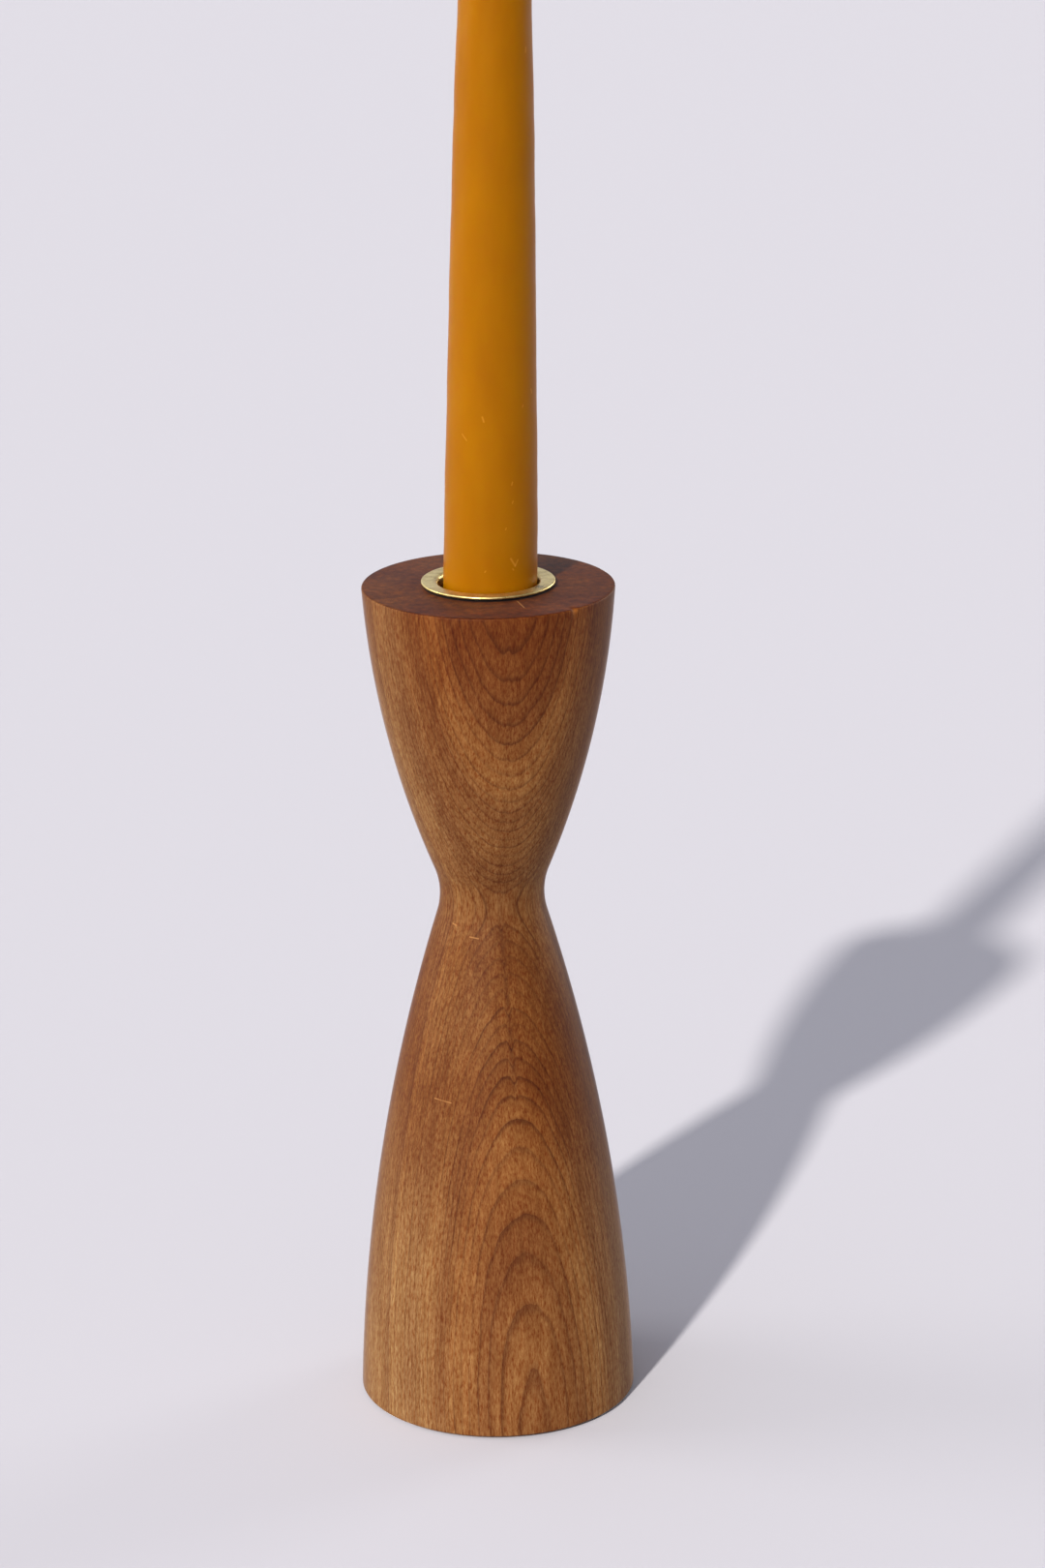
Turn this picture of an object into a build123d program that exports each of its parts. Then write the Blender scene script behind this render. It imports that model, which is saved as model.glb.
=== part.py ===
"""A turned cherry candlestick with a brass candle cup, a felt foot and a tapered candle.

Frame: millimetres, +Z up along the turning axis, origin on the surface that the candlestick stands on.
The front is -Y, and the candle leans a little towards +X.
"""

import os
from math import cos, radians, sin

from build123d import *

# Turned body. Its heights are measured from its own foot.
body_height = 203.2  # 8 inches
base_radius = 33.5
top_radius = 29.7
waist_corner_radius = 11.36  # where the two flanks would meet if the waist weren't rounded
waist_corner_height = 128.46
lower_bulge = 4.55  # sagitta of the flank from the foot up to the waist
upper_bulge = 3.38  # sagitta of the flank from the waist up to the rim
waist_round = 17.4
rim_ease = 0.4
base_ease = 0.6

# Felt foot, glued into a recess in the underside
felt_radius = 30.5
felt_thickness = 1.5
felt_proud = 0.5
felt_edge_ease = 0.25
recess_clearance = 0.3

# Candle cup, pressed from 22 gauge sheet brass
sheet = 0.64
cup_bore_radius = 11.8  # takes a 7/8 inch candle
cup_depth = 22.0  # from the top of the flange down to the floor inside
cup_bend = 1.2  # inside radius where the floor turns up, and round the lip
flange_radius = 15.7
flange_gap = 0.6  # the cup stands on the floor of its socket, so the flange floats above the wood
flange_edge_ease = 0.25
socket_clearance = 0.05

# Candle, a dipped taper of 7/8 inch by 10 inches. Its heights are measured from its own foot.
candle_length = 254.0
candle_base_radius = 11.1
candle_base_ease = 0.8
candle_bore_radius = 0.95
candle_sides = [(10.93, 30.0), (9.97, 88.0), (8.35, 156.0), (6.35, 216.0)]
candle_shoulder = (5.5, 236.0)
candle_shoulder_slope = (-0.15, 1)
candle_tip_radius = 1.6
candle_lean = 1.1  # degrees, which the room in the cup allows
candle_offset = 0.08  # how far the middle of its foot stands from the turning axis
candle_lift = 0.05  # between its lowest edge and the floor of the cup

# Wick, a braided cotton cord through the whole candle, bent over where it comes out
wick_radius = 0.9
wick_straight = 4.0
wick_bend_radius = 9.0
wick_bend_angle = 38.0

# Planes and heights worked out from those sizes
body_top = felt_proud + body_height
flange_top = body_top + flange_gap + sheet
cup_floor = flange_top - cup_depth
cup_underside = cup_floor - sheet
lean = radians(candle_lean)
candle_foot = cup_floor + candle_lift + candle_base_radius * sin(lean)
body_plane = Plane(origin=(0, 0, felt_proud), x_dir=(1, 0, 0), z_dir=(0, -1, 0))
candle_plane = Plane(
    origin=(candle_offset, 0, candle_foot), x_dir=(cos(lean), 0, -sin(lean)), z_dir=(0, -1, 0)
)
candle_axis = Axis(candle_plane.origin, candle_plane.y_dir)


def make_turned_body():
    """One length of cherry turned to an hourglass, with a socket in its top and a recess in its foot."""
    foot = (base_radius, 0)
    waist = (waist_corner_radius, waist_corner_height)
    rim = (top_radius, body_height)
    with BuildPart() as turned_body:
        with BuildSketch(body_plane) as outline:
            with BuildLine():
                Line((0, 0), foot)
                SagittaArc(foot, waist, -lower_bulge)
                SagittaArc(waist, rim, -upper_bulge)
                Polyline(rim, (0, body_height), (0, 0))
            make_face()
            for corner, radius in ((foot, base_ease), (waist, waist_round), (rim, rim_ease)):
                fillet(outline.vertices().sort_by_distance(corner)[0], radius)
        revolve(axis=Axis.Z)
        with Locations((0, 0, body_top)):
            Hole(cup_bore_radius + sheet + socket_clearance, depth=body_top - cup_underside)
        with BuildSketch(Plane.XY.offset(felt_proud)):
            Circle(felt_radius + recess_clearance)
        extrude(amount=felt_thickness - felt_proud, mode=Mode.SUBTRACT)
    return turned_body


def make_felt_foot():
    """A disc of felt in the recess. Its lower face is all that touches the table."""
    with BuildPart() as felt_foot:
        with BuildSketch():
            Circle(felt_radius)
        extrude(amount=felt_thickness)
        fillet(felt_foot.edges().group_by(Axis.Z)[0], felt_edge_ease)
    return felt_foot


def make_candle_cup():
    """A flanged cup of one thickness: floor, tube and flange, joined by pressed bends."""
    with BuildPart() as candle_cup:
        with BuildSketch(Plane.XZ):
            with BuildLine():
                FilletPolyline(
                    (0, cup_floor),
                    (cup_bore_radius, cup_floor),
                    (cup_bore_radius, flange_top),
                    (flange_radius, flange_top),
                    radius=cup_bend,
                )
                offset(amount=sheet, side=Side.RIGHT)
            make_face()
        revolve(axis=Axis.Z)
        flange_edges = candle_cup.edges().filter_by(GeomType.CIRCLE).sort_by(SortBy.RADIUS)[-2:]
        fillet(flange_edges, flange_edge_ease)
    return candle_cup


def make_candle():
    """The wax: a long dipped taper with an eased foot, a rounded shoulder and a bore for its wick."""
    tip = (candle_tip_radius, candle_length)
    with BuildPart() as candle:
        with BuildSketch(candle_plane):
            with BuildLine():
                foot_edge = (candle_base_radius, 0)
                Line((candle_bore_radius, 0), foot_edge)
                Spline(foot_edge, *candle_sides, candle_shoulder, tangents=((0, 1), candle_shoulder_slope))
                Spline(candle_shoulder, tip, tangents=(candle_shoulder_slope, (-1, 0.8)))
                Polyline(tip, (candle_bore_radius, candle_length), (candle_bore_radius, 0))
            outline = make_face()
            fillet(outline.vertices().group_by(Axis.Y)[0].sort_by(Axis.X)[-1], candle_base_ease)
        revolve(axis=candle_axis)
    return candle


def make_wick():
    """The cotton wick, from the candle's foot to the bent end above its tip."""
    wick_bend = candle_length + wick_straight
    with BuildPart() as wick:
        with BuildLine(candle_plane) as route:
            Line((0, 0), (0, wick_bend))
            CenterArc((wick_bend_radius, wick_bend), wick_bend_radius, 180, -wick_bend_angle)
        with BuildSketch(Plane(origin=candle_plane.origin, z_dir=candle_plane.y_dir)):
            Circle(wick_radius)
        sweep(path=route.wires()[0])
    return wick


pieces = {
    "turned_body": make_turned_body(),
    "felt_foot": make_felt_foot(),
    "candle_cup": make_candle_cup(),
    "candle": make_candle(),
    "wick": make_wick(),
}

os.makedirs("parts", exist_ok=True)
for name, piece in pieces.items():
    piece.part.label = name
    export_step(piece.part, f"parts/{name}.step")
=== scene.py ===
from math import acos, atan2, cos, hypot, pi, radians, sin, sqrt

import bpy
import numpy as np
from mathutils import Matrix, Vector


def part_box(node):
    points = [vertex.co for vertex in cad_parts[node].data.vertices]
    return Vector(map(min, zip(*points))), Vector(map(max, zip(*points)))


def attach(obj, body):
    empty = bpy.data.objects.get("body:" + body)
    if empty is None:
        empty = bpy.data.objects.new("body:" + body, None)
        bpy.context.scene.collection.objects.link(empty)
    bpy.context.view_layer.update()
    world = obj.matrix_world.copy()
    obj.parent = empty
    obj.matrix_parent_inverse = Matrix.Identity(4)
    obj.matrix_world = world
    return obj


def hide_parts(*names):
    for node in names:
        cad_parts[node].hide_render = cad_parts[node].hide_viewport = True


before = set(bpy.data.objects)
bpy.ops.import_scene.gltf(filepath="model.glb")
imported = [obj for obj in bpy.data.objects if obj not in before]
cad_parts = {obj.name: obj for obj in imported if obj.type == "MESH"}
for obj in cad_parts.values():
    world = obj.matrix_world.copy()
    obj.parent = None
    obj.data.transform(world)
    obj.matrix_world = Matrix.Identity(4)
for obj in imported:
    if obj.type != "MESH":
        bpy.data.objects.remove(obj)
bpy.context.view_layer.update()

# Lengths in this file are millimetres in the row frame; MM turns them into Blender's metres.
MM = 0.001

# How finely the pieces are drawn
BODY_TURNS = 432
FELT_TURNS = 240
CUP_TURNS = 256
CANDLE_TURNS = 224
ROW_STEP = 0.9  # mm between rows of the candle
SHARP_CORNER = radians(38)  # edges between flatter faces are smooth


def node_box(name):
    """Lowest and highest corner of a CAD node, in millimetres."""
    low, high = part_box(name)
    return low / MM, high / MM


body_low, body_high = node_box("turned_body")
cup_low, cup_high = node_box("candle_cup")
felt_low, felt_high = node_box("felt_foot")
_, candle_high = node_box("candle")

# Turned body
body_foot = body_low.z
body_top = body_high.z
base_radius = 33.5
top_radius = 29.7
waist_corner = (11.36, body_foot + 128.46)
lower_bulge = 4.55
upper_bulge = 3.38
waist_round = 17.4
rim_ease = 0.4
base_ease = 0.6
recess_radius = 30.8
felt_edge_ease = 0.25
socket_radius = 12.49
socket_ease = 0.25

# Brass cup
sheet = 0.64
cup_bore = 11.8
cup_bend = 1.2
flange_radius = cup_high.x
flange_top = cup_high.z
cup_underside = cup_low.z
cup_floor = cup_underside + sheet

# Candle, with heights from its own foot
candle_length = 254.0
candle_radius = 11.1
TAPER_HEIGHTS = [0, 30, 60, 88, 120, 156, 190, 216, 236, 246, 252, 254]
TAPER_RADII = [11.1, 10.95, 10.48, 9.98, 9.35, 8.35, 7.25, 6.35, 5.45, 4.5, 2.9, 1.6]
candle_lean = radians(1.1)
candle_offset = 0.08
candle_lift = 0.05  # between its lowest edge and the floor of the cup
candle_base_ease = 0.8
candle_foot = cup_floor + candle_lift + candle_radius * sin(candle_lean)
wick_radius = 0.9
wick_bend_radius = 9.0
wick_bend_angle = radians(38)
wick_straight = 4.0


# ---------------------------------------------------------------- outlines


def arc_about(centre, radius, start, end, count):
    """Points on a circle from one angle to another, both included."""
    return [
        (centre[0] + radius * cos(a), centre[1] + radius * sin(a))
        for a in np.linspace(start, end, count)
    ]


def bulge_circle(start, end, bulge):
    """Centre and radius of the circle from start up to end that bulges outwards by that much."""
    run, rise = end[0] - start[0], end[1] - start[1]
    chord = hypot(run, rise)
    radius = (chord**2 / 4 + bulge**2) / (2 * bulge)
    middle = ((start[0] + end[0]) / 2, (start[1] + end[1]) / 2)
    back = (radius - bulge) / chord
    return (middle[0] - rise * back, middle[1] + run * back), radius


def angle_at(centre, point):
    """The direction from centre to point."""
    return atan2(point[1] - centre[1], point[0] - centre[0])


def corner_round(before, corner, after, radius, count=6):
    """The rounded corner between two straight runs."""
    a = Vector(before) - Vector(corner)
    b = Vector(after) - Vector(corner)
    a.normalize()
    b.normalize()
    half = acos(max(-1, min(1, a.dot(b)))) / 2
    centre = Vector(corner) + (a + b).normalized() * (radius / sin(half))
    start = angle_at(centre, Vector(corner) + a * (radius / np.tan(half)))
    end = angle_at(centre, Vector(corner) + b * (radius / np.tan(half)))
    end = start + (end - start + pi) % (2 * pi) - pi
    return arc_about(centre, radius, start, end, count)


def body_outline():
    """The hourglass, from the middle of the recess round to the middle of the socket's floor."""
    foot = (base_radius, body_foot)
    rim = (top_radius, body_top)
    low_centre, low_radius = bulge_circle(foot, waist_corner, lower_bulge)
    up_centre, up_radius = bulge_circle(waist_corner, rim, upper_bulge)
    # The waist's own circle touches both flanks from outside.
    to_low, to_up = low_radius + waist_round, up_radius + waist_round
    apart = Vector(up_centre) - Vector(low_centre)
    along = (to_low**2 - to_up**2 + apart.length_squared) / (2 * apart.length)
    across = sqrt(to_low**2 - along**2)
    unit = apart.normalized()
    waist_centre = Vector(low_centre) + unit * along + Vector((unit.y, -unit.x)) * across
    low_touch = angle_at(low_centre, waist_centre)
    up_touch = angle_at(up_centre, waist_centre)
    waist_start, waist_end = low_touch + pi, up_touch + pi
    near_foot = angle_at(low_centre, foot) + base_ease / low_radius
    near_rim = angle_at(up_centre, rim) - rim_ease / up_radius
    foot_flank = arc_about(low_centre, low_radius, near_foot, low_touch, 64)
    rim_flank = arc_about(up_centre, up_radius, up_touch, near_rim, 36)
    mouth = (socket_radius, body_top)
    socket_foot = (socket_radius, cup_underside)
    return [
        (0, felt_high.z),
        (recess_radius, felt_high.z),
        (recess_radius, body_foot),
        *corner_round((0, body_foot), foot, foot_flank[0], base_ease),
        *foot_flank[1:],
        *arc_about(waist_centre, waist_round, waist_start, waist_end, 14)[1:-1],
        *rim_flank[:-1],
        *corner_round(rim_flank[-1], rim, mouth, rim_ease),
        *[(r, body_top) for r in np.linspace(top_radius - 1.2, socket_radius + 1.5, 12)],
        *corner_round(rim, mouth, socket_foot, socket_ease, 4),
        socket_foot,
        (0, cup_underside),
    ]


def cup_outline():
    """One thickness of sheet: underside, tube, flange, lip, bore and floor."""
    outer = cup_bore + sheet
    under_flange = flange_top - sheet
    edge = sheet / 2 - 0.02
    return [
        (0, cup_underside),
        *corner_round(
            (0, cup_underside), (outer, cup_underside), (outer, under_flange), cup_bend + sheet
        ),
        *corner_round(
            (outer, cup_underside), (outer, under_flange), (flange_radius, under_flange), cup_bend - sheet
        ),
        *corner_round(
            (outer, under_flange), (flange_radius, under_flange), (flange_radius, flange_top), edge
        ),
        *corner_round(
            (flange_radius, under_flange), (flange_radius, flange_top), (outer, flange_top), edge
        ),
        *[(r, flange_top) for r in np.linspace(flange_radius - 0.8, cup_bore + cup_bend + 0.3, 4)],
        *corner_round(
            (flange_radius, flange_top), (cup_bore, flange_top), (cup_bore, cup_floor), cup_bend, 10
        ),
        *corner_round((cup_bore, flange_top), (cup_bore, cup_floor), (0, cup_floor), cup_bend),
        (0, cup_floor),
    ]


def felt_outline():
    """The disc, with its lower edge eased."""
    radius = felt_high.x
    return [
        (0, felt_low.z),
        *corner_round((0, felt_low.z), (radius, felt_low.z), (radius, felt_high.z), felt_edge_ease),
        (radius, felt_high.z),
        (0, felt_high.z),
    ]


def candle_outline():
    """The taper's radius at a few heights, smoothed, from its eased foot to the dimple round its wick."""
    rows = [1.0 + ROW_STEP * k for k in range(int(candle_length / ROW_STEP))]
    side = [(smooth_curve(TAPER_HEIGHTS, TAPER_RADII, h), h) for h in rows if h < candle_length - 1]
    return [
        (0, 0),
        *corner_round((0, 0), (candle_radius, 0), (candle_radius, 10), candle_base_ease),
        *side,
        (1.75, candle_length - 0.25),
        (1.45, candle_length - 0.02),
        (wick_radius + 0.2, candle_length - 0.1),
        (wick_radius - 0.1, candle_length - 0.6),
        (0, candle_length - 0.7),
    ]


def smooth_curve(xs, ys, x):
    """A curve through a few points with no kinks (cubic, with each slope the mean of its neighbours)."""
    slopes = np.gradient(ys, xs)
    k = min(max(int(np.searchsorted(xs, x)) - 1, 0), len(xs) - 2)
    width = xs[k + 1] - xs[k]
    t = (x - xs[k]) / width
    return (
        ys[k] * (1 + 2 * t) * (1 - t) ** 2
        + width * slopes[k] * t * (1 - t) ** 2
        + ys[k + 1] * t**2 * (3 - 2 * t)
        + width * slopes[k + 1] * t**2 * (t - 1)
    )


# ---------------------------------------------------------------- mesh work


def make_piece(name, points, faces, body, material, stands_for):
    """A mesh object in the row frame that rides on a CAD body and stands for its node."""
    mesh = bpy.data.meshes.new(name)
    mesh.from_pydata((np.asarray(points) * MM).tolist(), [], faces)
    mesh.polygons.foreach_set("use_smooth", [True] * len(mesh.polygons))
    mesh.set_sharp_from_angle(angle=SHARP_CORNER)
    mesh.materials.append(material)
    piece = bpy.data.objects.new(name, mesh)
    bpy.context.scene.collection.objects.link(piece)
    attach(piece, body)
    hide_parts(stands_for)


def turn(outline, turns):
    """Points and faces of an outline turned about Z. An outline point of radius 0 becomes one point."""
    points, rows = [], []
    for radius, height in outline:
        count = turns if radius > 0 else 1
        rows.append(range(len(points), len(points) + count))
        for k in range(count):
            angle = 2 * pi * k / turns
            points.append((radius * cos(angle), radius * sin(angle), height))
    faces = []
    for low, high in zip(rows, rows[1:]):
        for k in range(turns):
            here, ahead = k, (k + 1) % turns
            ring = (
                low[here % len(low)],
                low[ahead % len(low)],
                high[ahead % len(high)],
                high[here % len(high)],
            )
            faces.append(tuple(dict.fromkeys(ring)))
    return np.array(points), faces


def waves(points, period, seed, count=7):
    """A smooth random field over the points, about -1 to 1, from a few sine waves."""
    rng = np.random.default_rng(seed)
    field = np.zeros(len(points))
    for _ in range(count):
        direction = rng.normal(size=3)
        direction /= np.linalg.norm(direction)
        stretch = 2 * pi / (period * rng.uniform(0.7, 1.5))
        field += np.sin(points @ direction * stretch + rng.uniform(0, 2 * pi))
    return field / sqrt(count)


def dent(points, centre, reach, push):
    """Moves points near centre along push, fading out at reach."""
    away = np.linalg.norm(points - np.array(centre), axis=1) / reach
    share = np.clip(1 - away**2, 0, 1) ** 2
    return points + share[:, None] * np.array(push)


def around(angle_deg, radius, height):
    """A point on a turned surface. 0 degrees is the front, and positive is to its right."""
    a = radians(angle_deg)
    return (radius * sin(a), -radius * cos(a), height)


def on_body(angle_deg, height):
    """A point on the wood's flank, leaving out the top face and the socket."""
    flank = sorted(
        (h, r)
        for r, h in body_outline()
        if h < body_top - rim_ease and (h < cup_underside or r > socket_radius + 5)
    )
    return around(angle_deg, np.interp(height, *zip(*flank)), height)


def on_candle(angle_deg, height):
    """A point on the wax, with the height from the candle's own foot."""
    place = around(angle_deg, smooth_curve(TAPER_HEIGHTS, TAPER_RADII, height), height)
    return tuple(lean_over(np.array([place]))[0])


# ---------------------------------------------------------------- what the surfaces are like

# The log that the blank was cut from, in mm
ARCH_SIDE = 12.9  # degrees to the right of the front, where the arches are centred
PITH_DISTANCE = 205.8
PITH_OFFSET = 3.2
PITH_SPAN = 100.0  # height that the lean and the bow are given over
PITH_TOWARDS = (2.6, -0.2)  # lean and bow towards the pith, and then beside it
PITH_BESIDE = (10.5, -3.8)
# Distance from the pith against the count of years: slow years lie between faster ones.
RING_YEARS = [(168, 0), (177, 9.4), (182.7, 14.6), (187.3, 20), (192.7, 25.4), (199, 30.8), (245, 77)]
LINE_STRENGTH = 0.86
# How pale each run of years is, from 0 to 1
RING_TONES = [
    (168, 0.5),
    (176.5, 0.45),
    (178, 0.3),
    (179.6, 0.85),
    (182, 1.0),
    (184.2, 0.3),
    (187.4, 0.62),
    (189, 0.4),
    (191, 0.2),
    (195.2, 0.6),
    (196.5, 0.5),
    (197.8, 0.95),
    (199.1, 0.15),
    (201.2, 0.6),
    (210, 0.5),
    (216, 0.35),
    (224, 0.6),
    (245, 0.5),
]

# How deep the colour is at heights from foot to rim, from 0 to 1
COLOUR_DEPTH = [
    (0, 0.0),
    (0.1, 0.1),
    (0.2, 0.36),
    (0.3, 0.6),
    (0.42, 0.85),
    (0.57, 0.86),
    (0.63, 0.6),
    (0.75, 0.4),
    (0.87, 0.52),
    (1, 0.84),
]

# The wood's colours: early and late wood, where it is cut across or marked, and a painted shade for the gap
# under the flange
EARLY_PALE = "#72431A"
EARLY_DEEP = "#5B3011"
LATE_BROWN = "#3C1705"
END_GRAIN = "#DEC084"
FRESH_WOOD = "#9A5C26"
SCRATCHED_WOOD = "#9A6A3C"
# Near black, painted on the top under the flange as the shade in the gap there
GAP_SHADE_DARK = "#150D09"
# Tints that the wood's colour is multiplied by, in pairs
FIBRE_DARK, FIBRE_PALE = (0.68, 0.42, 0.20, 1), (1.34, 1.72, 2.3, 1)
STREAK_DARK, STREAK_PALE = (0.87, 0.82, 0.76, 1), (1.13, 1.18, 1.24, 1)
# The outer tint is partly a painted sheen: it makes the sides paler and bluer
HEART_TINT, OUTER_AND_SHEEN_TINT = (0.90, 0.81, 0.77, 1), (1.02, 1.16, 1.38, 1)
FADED_TINT, DEEP_TINT = (1.38, 1.72, 2.25, 1), (0.80, 0.61, 0.38, 1)
FLECK_DARK, FLECK_PALE = (0.66, 0.6, 0.55, 1), (1.26, 1.26, 1.24, 1)

BRASS = "#E6D08A"
BRASS_DULL = "#C9AE68"
BRASS_SPOT = "#3A2E1A"
WAX = "#8F5A00"
WAX_DEEP = "#824C00"
WAX_NICK = "#B27A28"
FELT_DARK = "#1B1A19"
FELT_PALE = "#4A4642"
COTTON = "#F1E9D8"
COTTON_SHADED = "#C9BDA4"
WAXED_COTTON = "#C98F35"
PAPER = "#BEBBC0"

CHIP_SIDE = 42  # degrees to the right of the front
CHIP_REACH = 1.4
# Pale scratches: both ends and half the width
SCRATCHES = [
    (on_body(-23, 120.9), on_body(-14, 120.7), 0.22),
    (on_body(-37, 82.5), on_body(-26, 82.2), 0.2),
    (on_body(-45, 123.1), on_body(-40, 122.9), 0.25),
    ((6.6, -14.6, body_top), (8.2, -20.4, body_top), 0.2),
]
# Nicks in the wax: both ends as angle and height, and half the width
NICKS = [
    ((-10, 61.8), (-12, 62.9), 0.28),
    ((-40, 58.4), (-33, 57.1), 0.2),
    ((62, 67.4), (60, 68.4), 0.25),
    ((42, 64.7), (43, 65.2), 0.22),
    ((26, 46.8), (27, 47.5), 0.2),
    ((27, 42.5), (28, 43.0), 0.2),
    ((25, 29.4), (31, 27.6), 0.3),
    ((31, 27.5), (35, 28.9), 0.24),
    ((28, 26.9), (29, 26.6), 0.22),
    ((-7, 26.4), (-6, 26.7), 0.2),
    ((18, 36.4), (19, 36.8), 0.18),
    ((53, 145.5), (54, 146.6), 0.22),
]


# ---------------------------------------------------------------- materials


def linear(hex_colour):
    """An sRGB hex colour as linear RGBA."""
    channels = [int(hex_colour[k:k + 2], 16) / 255 for k in (1, 3, 5)]
    return [c / 12.92 if c <= 0.04045 else ((c + 0.055) / 1.055) ** 2.4 for c in channels] + [1.0]


def add(tree, kind, inputs=None, **settings):
    """Adds a node. inputs maps a socket's name or number to a value or to another node's socket."""
    made = tree.nodes.new(kind)
    for name, value in settings.items():
        if name == "stops":
            elements = made.color_ramp.elements
            elements[-1].position = 1.0
            for position, _ in value[1:-1]:
                elements.new(position)
            for element, (position, grey) in zip(elements, value):
                element.position = position
                element.color = (grey, grey, grey, 1)
        else:
            setattr(made, name, value)
    for socket, value in (inputs or {}).items():
        if isinstance(value, bpy.types.NodeSocket):
            tree.links.new(value, made.inputs[socket])
        else:
            made.inputs[socket].default_value = value
    return made


def new_material(name, **sockets):
    """A material with a Principled shader whose even values are set on its own sockets."""
    material = bpy.data.materials.new(name)
    material.use_nodes = True
    tree = material.node_tree
    shader = tree.nodes["Principled BSDF"]
    for socket, value in sockets.items():
        shader.inputs[socket.replace("_", " ")].default_value = value
    return material, tree, shader


def in_millimetres(tree):
    """The place on the piece in the row frame, in millimetres."""
    place = add(tree, "ShaderNodeTexCoord").outputs["Object"]
    return add(tree, "ShaderNodeVectorMath", {0: place, 3: 1 / MM}, operation="SCALE").outputs[0]


def streak(tree, point, start, end, width):
    """1 on a fine line from start to end, 0 away from it."""
    run = Vector(end) - Vector(start)
    offset = add(tree, "ShaderNodeVectorMath", {0: point, 1: start}, operation="SUBTRACT").outputs[0]
    share = add(
        tree,
        "ShaderNodeVectorMath",
        {0: offset, 1: run / run.length_squared},
        operation="DOT_PRODUCT",
    ).outputs["Value"]
    held = add(tree, "ShaderNodeClamp", {0: share}).outputs[0]
    nearest = add(tree, "ShaderNodeVectorMath", {0: run, 3: held}, operation="SCALE").outputs[0]
    gap = add(
        tree, "ShaderNodeVectorMath", {0: offset, 1: nearest}, operation="DISTANCE"
    ).outputs["Value"]
    return add(tree, "ShaderNodeMapRange", {0: gap, 1: width, 2: width * 0.3, 3: 0.0, 4: 1.0}).outputs[0]


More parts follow.
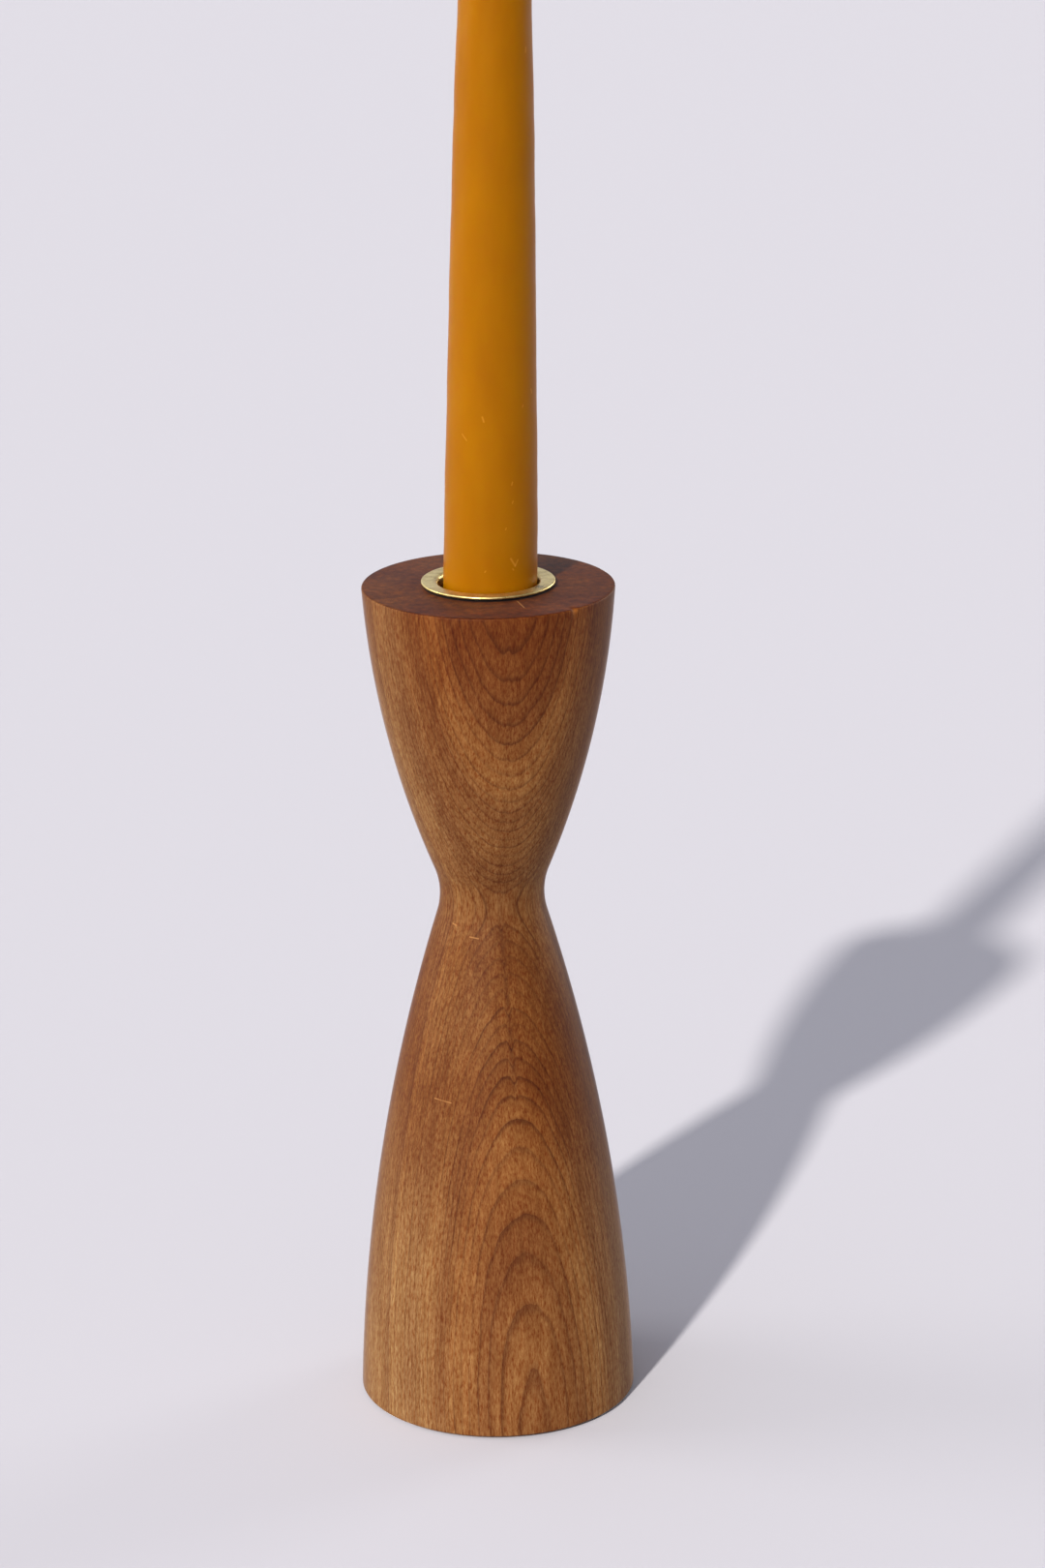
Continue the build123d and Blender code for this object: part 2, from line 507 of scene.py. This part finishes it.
def oiled_cherry():
    """Turned cherry, sanded and oiled: warm red-brown, with fine dark ring lines and short pores.

    The blank is flat-sawn, from well outside the pith, so the rings cut the two flanks in nested arches.
    The oil leaves a satin that goes pale at a grazing angle, and end grain soaks up more of it.
    """
    material, tree, shader = new_material(
        "oiled_cherry", IOR=1.46, Specular_IOR_Level=0.09, Sheen_Weight=0.65, Sheen_Roughness=0.17
    )
    point = in_millimetres(tree)

    # Where the log's pith ran beside the blank, and how it leaned and bowed with height
    arch_side = radians(ARCH_SIDE)
    split = add(tree, "ShaderNodeSeparateXYZ", {0: point}).outputs
    up = add(
        tree, "ShaderNodeMath", {0: split["Z"], 1: body_foot + PITH_SPAN}, operation="SUBTRACT"
    ).outputs[0]
    up = add(tree, "ShaderNodeMath", {0: up, 1: 1 / PITH_SPAN}, operation="MULTIPLY").outputs[0]
    up_squared = add(tree, "ShaderNodeMath", {0: up, 1: up}, operation="MULTIPLY").outputs[0]
    towards_pith = Vector((sin(arch_side), -cos(arch_side), 0))
    beside_pith = Vector((cos(arch_side), sin(arch_side), 0))
    across = []
    for direction, lean, bow in ((towards_pith, *PITH_TOWARDS), (beside_pith, *PITH_BESIDE)):
        reach = add(
            tree, "ShaderNodeVectorMath", {0: point, 1: direction}, operation="DOT_PRODUCT"
        ).outputs["Value"]
        across.append(reach)
        reach = add(
            tree, "ShaderNodeMath", {0: up, 1: lean, 2: reach}, operation="MULTIPLY_ADD"
        ).outputs[0]
        reach = add(
            tree, "ShaderNodeMath", {0: up_squared, 1: bow, 2: reach}, operation="MULTIPLY_ADD"
        ).outputs[0]
        across.append(reach)
    towards, beside = across[1], across[3]
    to_pith = add(tree, "ShaderNodeMath", {0: PITH_DISTANCE, 1: towards}, operation="SUBTRACT").outputs[0]
    beside = add(tree, "ShaderNodeMath", {0: beside, 1: PITH_OFFSET}, operation="ADD").outputs[0]
    from_pith = add(tree, "ShaderNodeCombineXYZ", {0: to_pith, 1: beside}).outputs[0]
    radius = add(tree, "ShaderNodeVectorMath", {0: from_pith}, operation="LENGTH").outputs["Value"]

    # A healed nick in the bark runs along the log, and every ring after it dips there.
    nick = add(tree, "ShaderNodeMath", {0: up, 1: 1.5, 2: across[2]}, operation="MULTIPLY_ADD").outputs[0]
    nick = add(tree, "ShaderNodeMath", {0: nick, 1: 0.65}, operation="ADD").outputs[0]
    nick = add(tree, "ShaderNodeMath", {0: nick}, operation="ABSOLUTE").outputs[0]
    nick = add(
        tree, "ShaderNodeMapRange", {0: nick, 1: 1.0, 2: 0.0}, interpolation_type="SMOOTHSTEP"
    ).outputs[0]
    nick_reach = add(
        tree,
        "ShaderNodeValToRGB",
        {0: add(tree, "ShaderNodeMapRange", {0: up, 1: -1.0, 2: 1.0}).outputs[0]},
        stops=[(0.0, 0.0), (0.4, 0.0), (0.46, 0.42), (0.61, 0.42), (0.66, 0.08), (1.0, 0.1)],
    ).outputs[0]
    radius = add(
        tree, "ShaderNodeMath", {0: nick, 1: nick_reach, 2: radius}, operation="MULTIPLY_ADD"
    ).outputs[0]

    # Rings wander a little along and across the grain.
    drawn = add(tree, "ShaderNodeVectorMath", {0: point, 1: (1, 1, 0.3)}, operation="MULTIPLY").outputs[0]
    for size, reach in ((22.0, 1.0), (6.0, 0.55), (1.4, 0.14)):
        wander = add(
            tree, "ShaderNodeTexNoise", {"Vector": drawn, "Scale": 1 / size, "Detail": 1.0}
        ).outputs[0]
        wander = add(tree, "ShaderNodeMath", {0: wander, 1: 0.5}, operation="SUBTRACT").outputs[0]
        radius = add(
            tree, "ShaderNodeMath", {0: wander, 1: reach, 2: radius}, operation="MULTIPLY_ADD"
        ).outputs[0]

    # Rings are of different widths, so the year is read off the distance from the pith.
    inner, outer, years = RING_YEARS[0][0], RING_YEARS[-1][0], RING_YEARS[-1][1]
    share = add(tree, "ShaderNodeMapRange", {0: radius, 1: inner, 2: outer}).outputs[0]
    year = add(
        tree,
        "ShaderNodeValToRGB",
        {0: share},
        stops=[((r - inner) / (outer - inner), y / years) for r, y in RING_YEARS],
    ).outputs[0]
    year = add(tree, "ShaderNodeMath", {0: year, 1: years}, operation="MULTIPLY").outputs[0]
    season = add(tree, "ShaderNodeMath", {0: year}, operation="FRACT").outputs[0]
    which = add(tree, "ShaderNodeMath", {0: year}, operation="FLOOR").outputs[0]
    line = add(
        tree,
        "ShaderNodeValToRGB",
        {0: season},
        stops=[(0.0, 0.5), (0.1, 0.0), (0.5, 0.06), (0.78, 0.24), (0.9, 0.78), (1.0, 1.0)],
    ).outputs[0]
    strength = add(tree, "ShaderNodeTexWhiteNoise", {"W": which}, noise_dimensions="1D").outputs[0]
    strength = add(tree, "ShaderNodeMapRange", {0: strength, 3: 0.45, 4: 1.0}).outputs[0]
    line = add(tree, "ShaderNodeMath", {0: line, 1: strength}, operation="MULTIPLY").outputs[0]
    patches = add(tree, "ShaderNodeTexNoise", {"Vector": drawn, "Scale": 1 / 9, "Detail": 1.0}).outputs[0]
    patches = add(tree, "ShaderNodeMapRange", {0: patches, 1: 0.35, 2: 0.6, 3: 0.6, 4: 1.0}).outputs[0]
    line = add(tree, "ShaderNodeMath", {0: line, 1: patches}, operation="MULTIPLY").outputs[0]

    dark_nick = add(tree, "ShaderNodeMath", {0: nick, 1: nick_reach}, operation="MULTIPLY").outputs[0]
    line = add(
        tree, "ShaderNodeMath", {0: dark_nick, 1: 0.8, 2: line}, operation="MULTIPLY_ADD"
    ).outputs[0]

    # Colour: each run of years has its tone, over broad drifts, with the ring lines on top
    drift = add(tree, "ShaderNodeTexNoise", {"Vector": drawn, "Scale": 1 / 16, "Detail": 2.0}).outputs[0]
    drift = add(tree, "ShaderNodeMath", {0: drift, 1: 0.5}, operation="SUBTRACT").outputs[0]
    tone = add(
        tree,
        "ShaderNodeValToRGB",
        {0: share},
        stops=[((r - inner) / (outer - inner), t) for r, t in RING_TONES],
    ).outputs[0]
    tone = add(tree, "ShaderNodeMath", {0: drift, 1: 0.9, 2: tone}, operation="MULTIPLY_ADD").outputs[0]
    colour = add(
        tree, "ShaderNodeMix", {0: tone, 6: linear(EARLY_DEEP), 7: linear(EARLY_PALE)}, data_type="RGBA"
    ).outputs[2]
    line = add(tree, "ShaderNodeMath", {0: line, 1: LINE_STRENGTH}, operation="MULTIPLY").outputs[0]
    colour = add(
        tree, "ShaderNodeMix", {0: line, 6: colour, 7: linear(LATE_BROWN)}, data_type="RGBA"
    ).outputs[2]

    # Pores are 0.05 mm wide and up to 3 mm long. They are drawn 0.36 mm wide, the least that shows.
    fibres = add(
        tree, "ShaderNodeVectorMath", {0: point, 1: (1, 1, 0.2)}, operation="MULTIPLY"
    ).outputs[0]
    pores = add(
        tree, "ShaderNodeTexNoise", {"Vector": fibres, "Scale": 1 / 0.36, "Detail": 2.0, "Roughness": 0.7}
    ).outputs[0]
    fine = add(tree, "ShaderNodeMapRange", {0: pores, 1: 0.3, 2: 0.7}).outputs[0]
    fine = add(
        tree, "ShaderNodeMix", {0: fine, 6: FIBRE_DARK, 7: FIBRE_PALE}, data_type="RGBA"
    ).outputs[2]
    colour = add(
        tree, "ShaderNodeMix", {0: 1.0, 6: colour, 7: fine}, data_type="RGBA", blend_type="MULTIPLY"
    ).outputs[2]

    # Long pale and dark streaks follow the fibres.
    long = add(tree, "ShaderNodeVectorMath", {0: point, 1: (1, 1, 0.04)}, operation="MULTIPLY").outputs[0]
    long = add(tree, "ShaderNodeTexNoise", {"Vector": long, "Scale": 1 / 1.3, "Detail": 1.0}).outputs[0]
    long = add(tree, "ShaderNodeMapRange", {0: long, 1: 0.3, 2: 0.7}).outputs[0]
    long = add(
        tree, "ShaderNodeMix", {0: long, 6: STREAK_DARK, 7: STREAK_PALE}, data_type="RGBA"
    ).outputs[2]
    colour = add(
        tree, "ShaderNodeMix", {0: 1.0, 6: colour, 7: long}, data_type="RGBA", blend_type="MULTIPLY"
    ).outputs[2]

    # The wood is redder nearer the heart, at the front, and paler and bluer outwards, towards the sides.
    # That paleness at the sides is partly a painted sheen, for the grazing haze at the edges.
    heart_and_sheen = add(
        tree, "ShaderNodeMapRange", {0: radius, 1: 175.0, 2: 194.0}, interpolation_type="SMOOTHSTEP"
    ).outputs[0]
    heart_and_sheen = add(
        tree, "ShaderNodeMix", {0: heart_and_sheen, 6: HEART_TINT, 7: OUTER_AND_SHEEN_TINT}, data_type="RGBA"
    ).outputs[2]
    colour = add(
        tree, "ShaderNodeMix", {0: 1.0, 6: colour, 7: heart_and_sheen}, data_type="RGBA", blend_type="MULTIPLY"
    ).outputs[2]

    # Its colour deepens towards the waist and the rim, and has faded at the foot.
    depth = add(tree, "ShaderNodeMapRange", {0: up, 1: -1.0, 2: 1.032}).outputs[0]
    depth = add(tree, "ShaderNodeValToRGB", {0: depth}, stops=COLOUR_DEPTH).outputs[0]
    depth = add(
        tree, "ShaderNodeMath", {0: drift, 1: -0.8, 2: depth}, operation="MULTIPLY_ADD"
    ).outputs[0]
    depth = add(
        tree, "ShaderNodeMix", {0: depth, 6: FADED_TINT, 7: DEEP_TINT}, data_type="RGBA"
    ).outputs[2]
    colour = add(
        tree, "ShaderNodeMix", {0: 1.0, 6: colour, 7: depth}, data_type="RGBA", blend_type="MULTIPLY"
    ).outputs[2]

    # End grain drinks more oil, and unevenly.
    normal = add(tree, "ShaderNodeTexCoord").outputs["Normal"]
    facing = add(tree, "ShaderNodeSeparateXYZ", {0: normal}).outputs["Z"]
    facing = add(tree, "ShaderNodeMath", {0: facing}, operation="ABSOLUTE").outputs[0]
    end_grain = add(tree, "ShaderNodeMapRange", {0: facing, 1: 0.75, 2: 0.95}).outputs[0]
    soaked = add(
        tree,
        "ShaderNodeMix",
        {0: 1.0, 6: colour, 7: linear(END_GRAIN)},
        data_type="RGBA",
        blend_type="MULTIPLY",
    ).outputs[2]
    flecks = add(
        tree, "ShaderNodeTexNoise", {"Vector": point, "Scale": 1 / 1.6, "Detail": 3.0}
    ).outputs[0]
    flecks = add(tree, "ShaderNodeMapRange", {0: flecks, 1: 0.32, 2: 0.68}).outputs[0]
    flecks = add(
        tree, "ShaderNodeMix", {0: flecks, 6: FLECK_DARK, 7: FLECK_PALE}, data_type="RGBA"
    ).outputs[2]
    soaked = add(
        tree, "ShaderNodeMix", {0: 1.0, 6: soaked, 7: flecks}, data_type="RGBA", blend_type="MULTIPLY"
    ).outputs[2]
    colour = add(tree, "ShaderNodeMix", {0: end_grain, 6: colour, 7: soaked}, data_type="RGBA").outputs[2]

    # Painted shade: the wood's top under the brass flange is painted near black, for the shadow in the thin
    # gap beneath the flange.
    flat = add(tree, "ShaderNodeVectorMath", {0: point, 1: (1, 1, 0)}, operation="MULTIPLY").outputs[0]
    from_axis = add(tree, "ShaderNodeVectorMath", {0: flat}, operation="LENGTH").outputs["Value"]
    painted_gap_shade = add(
        tree,
        "ShaderNodeMapRange",
        {0: from_axis, 1: flange_radius - 0.2, 2: flange_radius - 0.6, 3: 0.0, 4: 0.92},
    ).outputs[0]
    painted_gap_shade = add(tree, "ShaderNodeMath", {0: painted_gap_shade, 1: end_grain}, operation="MULTIPLY").outputs[0]
    colour = add(
        tree, "ShaderNodeMix", {0: painted_gap_shade, 6: colour, 7: linear(GAP_SHADE_DARK)}, data_type="RGBA"
    ).outputs[2]

    # Handling has left a few pale scratches, and a chip at the rim that shows fresh wood.
    chip_middle = around(CHIP_SIDE, top_radius, body_top - 0.3)
    chip = add(
        tree, "ShaderNodeVectorMath", {0: point, 1: chip_middle}, operation="DISTANCE"
    ).outputs["Value"]
    chip = add(tree, "ShaderNodeMapRange", {0: chip, 1: 1.2, 2: 0.5, 3: 0.0, 4: 0.45}).outputs[0]
    colour = add(
        tree, "ShaderNodeMix", {0: chip, 6: colour, 7: linear(FRESH_WOOD)}, data_type="RGBA"
    ).outputs[2]
    for start, end, width in SCRATCHES:
        mark = streak(tree, point, start, end, width)
        mark = add(tree, "ShaderNodeMath", {0: mark, 1: 0.7}, operation="MULTIPLY").outputs[0]
        colour = add(
            tree, "ShaderNodeMix", {0: mark, 6: colour, 7: linear(SCRATCHED_WOOD)}, data_type="RGBA"
        ).outputs[2]
    tree.links.new(colour, shader.inputs["Base Color"])

    rough = add(tree, "ShaderNodeMapRange", {0: pores, 3: 0.5, 4: 0.68}).outputs[0]
    tree.links.new(rough, shader.inputs["Roughness"])
    bump = add(
        tree, "ShaderNodeBump", {"Height": pores, "Distance": 0.04 * MM, "Strength": 0.3}
    ).outputs[0]
    tree.links.new(bump, shader.inputs["Normal"])
    return material


def pressed_brass():
    """Sheet brass, pressed and handled: pale yellow metal with fine scratches and small dark spots."""
    material, tree, shader = new_material("pressed_brass", Metallic=1.0, Roughness=0.3)
    point = in_millimetres(tree)
    scratched = add(
        tree, "ShaderNodeVectorMath", {0: point, 1: (0.35, 4.0, 1)}, operation="MULTIPLY"
    ).outputs[0]
    scratches = add(
        tree, "ShaderNodeTexNoise", {"Vector": scratched, "Scale": 2.2, "Detail": 3.0}
    ).outputs[0]
    cloud = add(tree, "ShaderNodeTexNoise", {"Vector": point, "Scale": 0.5, "Detail": 3.0}).outputs[0]
    tarnish = add(tree, "ShaderNodeMapRange", {0: cloud, 1: 0.42, 2: 0.7}).outputs[0]
    colour = add(
        tree, "ShaderNodeMix", {0: tarnish, 6: linear(BRASS), 7: linear(BRASS_DULL)}, data_type="RGBA"
    ).outputs[2]
    spots = add(tree, "ShaderNodeTexNoise", {"Vector": point, "Scale": 2.6, "Detail": 2.0}).outputs[0]
    stain_middle = around(59, 13.7, flange_top)
    near = add(
        tree, "ShaderNodeVectorMath", {0: point, 1: stain_middle}, operation="DISTANCE"
    ).outputs["Value"]
    near = add(tree, "ShaderNodeMapRange", {0: near, 1: 0.6, 2: 2.4, 3: 0.26, 4: 0.0}).outputs[0]
    spots = add(tree, "ShaderNodeMath", {0: spots, 1: near}, operation="ADD").outputs[0]
    spots = add(tree, "ShaderNodeMapRange", {0: spots, 1: 0.66, 2: 0.72, 3: 0.0, 4: 0.8}).outputs[0]
    colour = add(
        tree, "ShaderNodeMix", {0: spots, 6: colour, 7: linear(BRASS_SPOT)}, data_type="RGBA"
    ).outputs[2]
    tree.links.new(colour, shader.inputs["Base Color"])
    rough = add(tree, "ShaderNodeMapRange", {0: scratches, 1: 0.3, 2: 0.7, 3: 0.28, 4: 0.52}).outputs[0]
    tree.links.new(rough, shader.inputs["Roughness"])
    bump = add(
        tree, "ShaderNodeBump", {"Height": scratches, "Distance": 0.02 * MM, "Strength": 0.5}
    ).outputs[0]
    tree.links.new(bump, shader.inputs["Normal"])
    return material


def dipped_wax():
    """A dyed wax taper, dipped and cooled: light goes in and comes back amber, so it has no hard shade."""
    material, tree, shader = new_material(
        "dipped_wax", IOR=1.44, Roughness=0.35, Specular_IOR_Level=0.06, Subsurface_Weight=0.6
    )
    shader.inputs["Subsurface Radius"].default_value = (1.0, 0.42, 0.08)
    shader.inputs["Subsurface Scale"].default_value = 5.0 * MM
    point = in_millimetres(tree)
    long = add(tree, "ShaderNodeVectorMath", {0: point, 1: (1, 1, 0.35)}, operation="MULTIPLY").outputs[0]
    cloud = add(tree, "ShaderNodeTexNoise", {"Vector": long, "Scale": 1 / 7, "Detail": 3.0}).outputs[0]
    colour = add(
        tree, "ShaderNodeMix", {0: cloud, 6: linear(WAX), 7: linear(WAX_DEEP)}, data_type="RGBA"
    ).outputs[2]
    for start, end, width in NICKS:
        mark = streak(tree, point, on_candle(*start), on_candle(*end), width)
        mark = add(tree, "ShaderNodeMath", {0: mark, 1: 0.6}, operation="MULTIPLY").outputs[0]
        colour = add(
            tree, "ShaderNodeMix", {0: mark, 6: colour, 7: linear(WAX_NICK)}, data_type="RGBA"
        ).outputs[2]
    tree.links.new(colour, shader.inputs["Base Color"])
    grain = add(tree, "ShaderNodeTexNoise", {"Vector": point, "Scale": 1 / 1.1, "Detail": 3.0}).outputs[0]
    bump = add(
        tree, "ShaderNodeBump", {"Height": grain, "Distance": 0.04 * MM, "Strength": 0.5}
    ).outputs[0]
    tree.links.new(bump, shader.inputs["Normal"])
    return material


def wool_felt():
    """Pressed wool felt: no weave, only matted fibres, and a dull velvet edge."""
    material, tree, shader = new_material(
        "wool_felt", Roughness=0.95, Sheen_Weight=0.3, Sheen_Roughness=0.5
    )
    point = in_millimetres(tree)
    fibres = add(
        tree, "ShaderNodeTexNoise", {"Vector": point, "Scale": 1.6, "Detail": 5.0, "Distortion": 1.5}
    ).outputs[0]
    colour = add(
        tree, "ShaderNodeMix", {0: fibres, 6: linear(FELT_DARK), 7: linear(FELT_PALE)}, data_type="RGBA"
    ).outputs[2]
    tree.links.new(colour, shader.inputs["Base Color"])
    bump = add(
        tree, "ShaderNodeBump", {"Height": fibres, "Distance": 0.2 * MM, "Strength": 0.8}
    ).outputs[0]
    tree.links.new(bump, shader.inputs["Normal"])
    return material


def waxed_cotton():
    """Bleached cotton cord, soaked with wax at its foot: off-white fibres that go amber near the candle."""
    material, tree, shader = new_material("waxed_cotton", Roughness=0.7, Sheen_Weight=0.2)
    point = in_millimetres(tree)
    split = add(tree, "ShaderNodeSeparateXYZ", {0: point}).outputs
    soaked = add(
        tree, "ShaderNodeMapRange", {0: split["Z"], 1: candle_high.z + 4, 2: candle_high.z}
    ).outputs[0]
    threads = add(tree, "ShaderNodeTexNoise", {"Vector": point, "Scale": 6.0, "Detail": 2.0}).outputs[0]
    colour = add(
        tree, "ShaderNodeMix", {0: threads, 6: linear(COTTON_SHADED), 7: linear(COTTON)}, data_type="RGBA"
    ).outputs[2]
    colour = add(
        tree, "ShaderNodeMix", {0: soaked, 6: colour, 7: linear(WAXED_COTTON)}, data_type="RGBA"
    ).outputs[2]
    tree.links.new(colour, shader.inputs["Base Color"])
    bump = add(
        tree, "ShaderNodeBump", {"Height": threads, "Distance": 0.05 * MM, "Strength": 0.7}
    ).outputs[0]
    tree.links.new(bump, shader.inputs["Normal"])
    return material


# ---------------------------------------------------------------- pieces


def make_turned_body(material):
    """The hourglass, with a small chip out of its rim."""
    points, faces = turn(body_outline(), BODY_TURNS)
    points = dent(points, around(CHIP_SIDE, top_radius, body_top), CHIP_REACH, (-0.2, 0.22, -0.35))
    make_piece("cherry_hourglass", points, faces, "stand", material, "turned_body")


def make_felt(material):
    """The disc, with a hand-cut edge that wavers by about 0.1 mm."""
    points, faces = turn(felt_outline(), FELT_TURNS)
    edge = np.hypot(points[:, 0], points[:, 1]) > felt_high.x - 0.5
    scale = 1 + 0.004 * waves(points, 2.0, 5)[edge]
    points[edge, :2] *= np.minimum(scale, 1.006)[:, None]
    make_piece("felt_disc", points, faces, "stand", material, "felt_foot")


def make_cup(material):
    """The flanged cup, one thickness of sheet all round."""
    points, faces = turn(cup_outline(), CUP_TURNS)
    make_piece("brass_candle_cup", points, faces, "cup", material, "candle_cup")


def lean_over(points):
    """From the candle's own axis to the row frame."""
    leaned = points @ np.array(Matrix.Rotation(candle_lean, 3, "Y")).T
    return leaned + np.array((candle_offset, 0, candle_foot))


def make_candle(material):
    """The taper, with the slow swells of about 0.1 mm that dipping leaves above its foot."""
    points, faces = turn(candle_outline(), CANDLE_TURNS)
    height = points[:, 2]
    rise = np.clip(height / 30, 0, 1)
    swell = 0.07 * waves(points, 40, 11) + 0.03 * waves(points, 12, 12) + 0.012 * waves(points, 4, 13)
    radius = np.maximum(np.hypot(points[:, 0], points[:, 1]), 1e-6)
    points[:, :2] *= (1 + rise * swell * (radius > 2) / radius)[:, None]
    make_piece("wax_taper", lean_over(points), faces, "taper", material, "candle")


def make_wick(material):
    """Three waxed strands plaited along the wick's line, from just inside the wax to the bent tip."""
    # A strand's radius, how far it swings across and to the front, the length of one plait, and its sides
    strand, swing, weave, pitch, sides = 0.46, 0.52, 0.3, 5.2, 12
    start = candle_length - 1.5
    straight_end = candle_length + wick_straight
    bend = wick_bend_radius * wick_bend_angle
    steps = np.linspace(0, straight_end - start + bend, 90)
    points, faces = [], []
    for which in range(3):
        line = []
        for s in steps:
            turn_by = max(0.0, s - (straight_end - start)) / wick_bend_radius
            centre = Vector((
                wick_bend_radius * (1 - cos(turn_by)),
                0,
                start + min(s, straight_end - start) + wick_bend_radius * sin(turn_by),
            ))
            across = Vector((cos(turn_by), 0, -sin(turn_by)))
            phase = 2 * pi * (s / pitch + which / 3)
            line.append(
                centre + across * (swing * sin(phase)) + Vector((0, 1, 0)) * (weave * sin(2 * phase))
            )
        first = len(points)
        for k, middle in enumerate(line):
            along = (line[min(k + 1, len(line) - 1)] - line[max(k - 1, 0)]).normalized()
            side = along.cross(Vector((0, 1, 0))).normalized()
            other = along.cross(side)
            end_gap = min(k, len(line) - 1 - k)
            thick = strand * min(1.0, 0.55 + 0.2 * end_gap)
            for n in range(sides):
                a = 2 * pi * n / sides
                points.append(middle + side * (thick * cos(a)) + other * (thick * sin(a)))
        for k in range(len(line) - 1):
            for n in range(sides):
                m = (n + 1) % sides
                low, high = first + k * sides, first + (k + 1) * sides
                faces.append((low + n, low + m, high + m, high + n))
        faces.append(tuple(first + n for n in reversed(range(sides))))
        faces.append(tuple(first + (len(line) - 1) * sides + n for n in range(sides)))
    points = lean_over(np.array([tuple(p) for p in points]))
    make_piece("plaited_wick", points, faces, "taper", material, "wick")


make_turned_body(oiled_cherry())
make_felt(wool_felt())
make_cup(pressed_brass())
make_candle(dipped_wax())
make_wick(waxed_cotton())


# ---------------------------------------------------------------- stage, light and camera


def make_floor():
    """A wide sheet of pale paper under the candlestick."""
    reach = 6000
    corners = [(-reach, -reach, 0), (reach, -reach, 0), (reach, reach, 0), (-reach, reach, 0)]
    mesh = bpy.data.meshes.new("paper_floor")
    mesh.from_pydata((np.array(corners) * MM).tolist(), [], [(0, 1, 2, 3)])
    material, _, shader = new_material("pale_paper", Roughness=0.9)
    shader.inputs["Base Color"].default_value = linear(PAPER)
    shader.inputs["Specular IOR Level"].default_value = 0.2
    mesh.materials.append(material)
    floor = bpy.data.objects.new("paper_floor", mesh)
    bpy.context.scene.collection.objects.link(floor)


def make_lights():
    """A hard key from the front left, a soft light at each edge, and a room brightest at eye level."""
    # Each light's name, the way it comes from in degrees, its strength, its width in degrees and its colour
    for name, azimuth, elevation, energy, spread, colour in (
        ("key_light", -24.5, 32, 4.8, 2.5, (1.0, 0.975, 0.93)),
        ("left_light", -98, 15, 1.4, 35, (1.0, 1.0, 1.0)),
        ("rim_light", 128, 9, 1.5, 25, (1.0, 1.0, 1.0)),
    ):
        azimuth, elevation = radians(azimuth), radians(elevation)
        back = Vector((sin(azimuth) * cos(elevation), -cos(azimuth) * cos(elevation), sin(elevation)))
        lamp = bpy.data.lights.new(name, "SUN")
        lamp.angle = radians(spread)
        lamp.energy = energy
        lamp.color = colour
        light = bpy.data.objects.new(name, lamp)
        light.location = back * 3
        light.rotation_euler = back.to_track_quat("Z", "Y").to_euler()
        bpy.context.scene.collection.objects.link(light)
    world = bpy.data.worlds.new("pale_room")
    world.use_nodes = True
    tree = world.node_tree
    sky = tree.nodes["Background"]
    sky.inputs["Color"].default_value = (0.84, 0.87, 1.0, 1)
    direction = add(tree, "ShaderNodeTexCoord").outputs["Generated"]
    split = add(tree, "ShaderNodeSeparateXYZ", {0: direction}).outputs
    level = add(
        tree,
        "ShaderNodeValToRGB",
        {0: split["Z"]},
        stops=[(0.0, 0.95), (0.4, 0.8), (0.75, 0.42), (1.0, 0.36)],
    ).outputs[0]
    side = add(tree, "ShaderNodeMapRange", {0: split["X"], 1: -1.0, 2: 1.0, 3: 1.65, 4: 0.34}).outputs[0]
    level = add(tree, "ShaderNodeMath", {0: level, 1: side}, operation="MULTIPLY").outputs[0]
    tree.links.new(level, sky.inputs["Strength"])
    bpy.context.scene.world = world


def make_camera():
    """A 105 mm lens a metre in front, looking down on the candlestick."""
    pan, tilt, roll = radians(0.418), radians(18.043), radians(-0.595)
    lens = bpy.data.cameras.new("camera")
    lens.lens = 105
    lens.sensor_width = 36
    lens.clip_start = 0.01
    lens.clip_end = 30
    camera = bpy.data.objects.new("camera", lens)
    away, height = 1029.3, body_foot + 489.4
    turned = Matrix.Rotation(-pan, 4, "Z")
    turned = turned @ Matrix.Rotation(pi / 2 - tilt, 4, "X")
    turned = turned @ Matrix.Rotation(roll, 4, "Z")
    camera.matrix_world = Matrix.Translation(Vector((0, -away, height)) * MM) @ turned
    bpy.context.scene.collection.objects.link(camera)
    bpy.context.scene.camera = camera


make_floor()
make_lights()
make_camera()
bpy.context.scene.view_settings.view_transform = "Standard"
